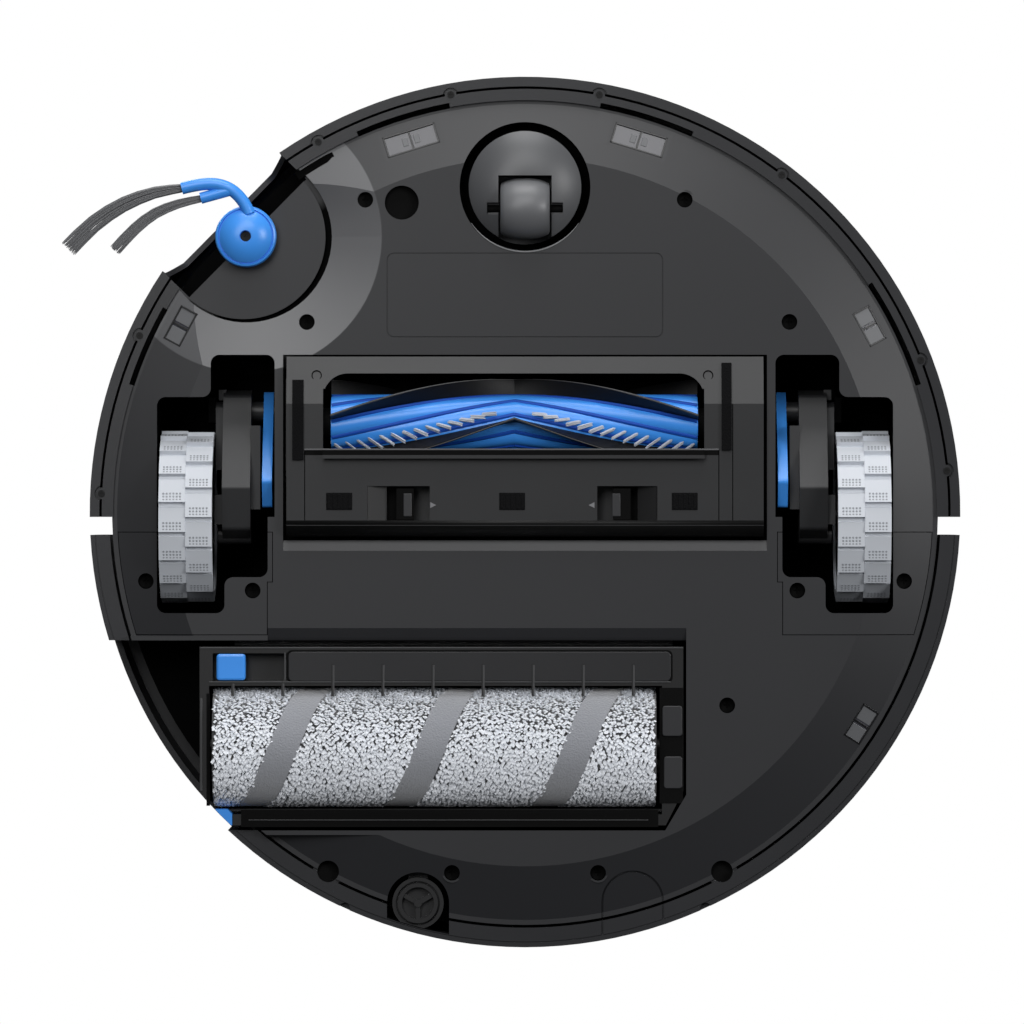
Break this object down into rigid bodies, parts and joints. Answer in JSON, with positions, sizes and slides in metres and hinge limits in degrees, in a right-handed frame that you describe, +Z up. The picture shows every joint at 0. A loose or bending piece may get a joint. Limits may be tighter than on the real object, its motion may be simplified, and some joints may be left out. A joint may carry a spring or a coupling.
{
  "type": "robot vacuum",
  "caption": "Round floor-cleaning robot with a roller mop, main and side brush, sprung drive wheels with climbing levers, caster, bumper, lidar turret and lift-out dust bin.",
  "frame": {"origin": "on the floor, on the axis of the round body", "axes": "+Z up, -Y is the robot's front, +X is to the right seen from below with the front up"},
  "size_m": [0.3636, 0.353, 0.103],
  "materials": {
    "chassis_plastic": "fine-grained dark grey plastic",
    "black_plastic": "black plastic, half matt",
    "shell_plastic": "smooth dark grey plastic",
    "blue_plastic": "satin blue plastic",
    "tyre_rubber": "light grey rubber",
    "black_rubber": "black rubber",
    "white_bristle": "pale nylon bristles",
    "grey_bristle": "grey nylon bristles",
    "microfibre": "speckled microfibre pile with a grey helical stripe",
    "felt": "black flocked strip",
    "smoked_window": "smoked infrared window",
    "screw_steel": "black oxide steel",
    "steel": "plain steel",
    "spring_steel": "spring steel",
    "motor_case": "zinc-plated motor can",
    "battery_wrap": "shrink-wrapped cells",
    "board_green": "circuit board",
    "tank_plastic": "translucent smoked tank plastic",
    "bin_plastic": "smoked bin plastic",
    "filter_paper": "pleated filter",
    "top_plastic": "dark grey top plastic"
  },
  "bodies": {
    "chassis": {"lower_chassis": "chassis_plastic", "rear_shell": "shell_plastic", "upper_deck": "black_plastic", "wheel_housing_left": "chassis_plastic", "wheel_housing_right": "chassis_plastic", "side_brush_deck": "chassis_plastic", "side_brush_motor": "motor_case", "cliff_sensor_windows": "smoked_window", "carpet_sensor": "black_plastic", "chassis_screws": "screw_steel", "battery_pack": "battery_wrap", "main_board": "board_green", "fan_housing": "black_plastic", "clean_water_tank": "tank_plastic", "dirty_water_tank": "tank_plastic", "water_pump": "motor_case", "water_port": "black_plastic", "brush_gearbox": "black_plastic", "lidar_turret": "top_plastic", "arm_spring_left": "spring_steel", "arm_spring_right": "spring_steel"},
    "fan": {"fan_impeller": "shell_plastic"},
    "lidar": {"lidar_head": "black_plastic"},
    "bumper": {"bumper_shell": "shell_plastic", "bumper_retainer": "shell_plastic", "bumper_screws": "screw_steel", "sensor_window": "smoked_window"},
    "arm_left": {"suspension_arm_left": "black_plastic", "drive_motor_left": "motor_case"},
    "arm_right": {"suspension_arm_right": "black_plastic", "drive_motor_right": "motor_case"},
    "wheel_left": {"tyre_left": "tyre_rubber", "wheel_rim_left": "black_plastic"},
    "wheel_right": {"tyre_right": "tyre_rubber", "wheel_rim_right": "black_plastic"},
    "lever_left": {"climb_lever_left": "blue_plastic"},
    "lever_right": {"climb_lever_right": "blue_plastic"},
    "main_brush": {"brush_core": "blue_plastic", "brush_flaps": "black_rubber", "brush_bristles": "white_bristle"},
    "cover": {"brush_cover": "black_plastic", "brush_edge_seals": "felt"},
    "latch_left": {"brush_latch_left": "black_plastic"},
    "latch_right": {"brush_latch_right": "black_plastic"},
    "side_brush": {"side_brush_hub": "blue_plastic", "side_brush_bristles": "grey_bristle", "side_brush_screw": "steel"},
    "lifter": {"mop_lifter": "black_plastic"},
    "mop": {"mop_frame": "black_plastic", "mop_pull_tab": "blue_plastic"},
    "roller": {"mop_roller_core": "black_plastic", "mop_sleeve": "microfibre"},
    "release": {"mop_release_button": "blue_plastic"},
    "caster": {"caster_swivel": "black_plastic", "caster_axle": "steel"},
    "caster_roll": {"caster_wheel": "black_rubber"},
    "lid": {"top_cover": "top_plastic"},
    "start": {"start_button": "shell_plastic"},
    "bin": {"dust_bin": "bin_plastic", "dust_filter": "filter_paper"}
  },
  "joints": [
    {"name": "bumper_press", "type": "slide", "parent": "chassis", "child": "bumper", "axis": [0, 1, 0], "range_m": [0, 0.003], "stiffness_N_per_m": 400, "springref_m": -0.004},
    {"name": "arm_left_swing", "type": "hinge", "parent": "chassis", "child": "arm_left", "pos_m": [-0.1184, -0.041, 0.042], "axis": [-1, 0, 0], "range_deg": [0, 30], "stiffness_Nm_per_rad": 0.3, "springref_deg": 34.95, "deforming": ["arm_spring_left"]},
    {"name": "wheel_left_roll", "type": "hinge", "parent": "arm_left", "child": "wheel_left", "pos_m": [-0.1373, 0.002, 0.035], "axis": [1, 0, 0], "continuous": true},
    {"name": "lever_left_swing", "type": "hinge", "parent": "chassis", "child": "lever_left", "pos_m": [-0.1046, -0.041, 0.042], "axis": [-1, 0, 0], "range_deg": [0, 25]},
    {"name": "arm_right_swing", "type": "hinge", "parent": "chassis", "child": "arm_right", "pos_m": [0.1184, -0.041, 0.042], "axis": [-1, 0, 0], "range_deg": [0, 30], "stiffness_Nm_per_rad": 0.3, "springref_deg": 34.95, "deforming": ["arm_spring_right"]},
    {"name": "wheel_right_roll", "type": "hinge", "parent": "arm_right", "child": "wheel_right", "pos_m": [0.1373, 0.002, 0.035], "axis": [1, 0, 0], "continuous": true},
    {"name": "lever_right_swing", "type": "hinge", "parent": "chassis", "child": "lever_right", "pos_m": [0.1046, -0.041, 0.042], "axis": [-1, 0, 0], "range_deg": [0, 25]},
    {"name": "main_brush_spin", "type": "hinge", "parent": "chassis", "child": "main_brush", "pos_m": [-0.0043, -0.036, 0.019], "axis": [1, 0, 0], "continuous": true},
    {"name": "brush_cover_lift_off", "type": "slide", "parent": "chassis", "child": "cover", "axis": [0, 0, -1], "range_m": [0, 0.03]},
    {"name": "brush_latch_left_slide", "type": "slide", "parent": "cover", "child": "latch_left", "axis": [1, 0, 0], "range_m": [0, 0.005], "stiffness_N_per_m": 150, "springref_m": -0.003},
    {"name": "brush_latch_right_slide", "type": "slide", "parent": "cover", "child": "latch_right", "axis": [-1, 0, 0], "range_m": [0, 0.005], "stiffness_N_per_m": 150, "springref_m": -0.003},
    {"name": "side_brush_spin", "type": "hinge", "parent": "chassis", "child": "side_brush", "pos_m": [-0.113, -0.1115, 0.008], "axis": [0, 0, 1], "continuous": true},
    {"name": "caster_swivel_turn", "type": "hinge", "parent": "chassis", "child": "caster", "pos_m": [0, -0.1316, 0.02], "axis": [0, 0, 1], "continuous": true},
    {"name": "caster_wheel_roll", "type": "hinge", "parent": "caster", "child": "caster_roll", "pos_m": [0, -0.1229, 0.0125], "axis": [1, 0, 0], "continuous": true},
    {"name": "mop_lift", "type": "slide", "parent": "chassis", "child": "lifter", "axis": [0, 0, 1], "range_m": [0, 0.008]},
    {"name": "mop_extend", "type": "slide", "parent": "lifter", "child": "mop", "axis": [-1, 0, 0], "range_m": [0, 0.012]},
    {"name": "mop_roller_spin", "type": "hinge", "parent": "mop", "child": "roller", "pos_m": [-0.0367, 0.0955, 0.0248], "axis": [1, 0, 0], "continuous": true},
    {"name": "mop_release_slide", "type": "slide", "parent": "mop", "child": "release", "axis": [1, 0, 0], "range_m": [0, 0.012], "stiffness_N_per_m": 60, "springref_m": -0.004},
    {"name": "fan_spin", "type": "hinge", "parent": "chassis", "child": "fan", "pos_m": [0.103, 0.084, 0.045], "axis": [0, 0, 1], "continuous": true},
    {"name": "lidar_spin", "type": "hinge", "parent": "chassis", "child": "lidar", "pos_m": [0, -0.026, 0.09], "axis": [0, 0, 1], "continuous": true},
    {"name": "top_cover_lift_off", "type": "slide", "parent": "chassis", "child": "lid", "axis": [0, 0, 1], "range_m": [0, 0.12]},
    {"name": "dust_bin_lift_out", "type": "slide", "parent": "chassis", "child": "bin", "axis": [0, 0, 1], "range_m": [0, 0.084]},
    {"name": "start_button_press", "type": "slide", "parent": "lid", "child": "start", "axis": [0, 0, -1], "range_m": [0, 0.001], "stiffness_N_per_m": 600, "springref_m": -0.001}
  ],
  "couplings": [
    {"joint": "dust_bin_lift_out", "follows": "top_cover_lift_off", "ratio": 0.7}
  ]
}
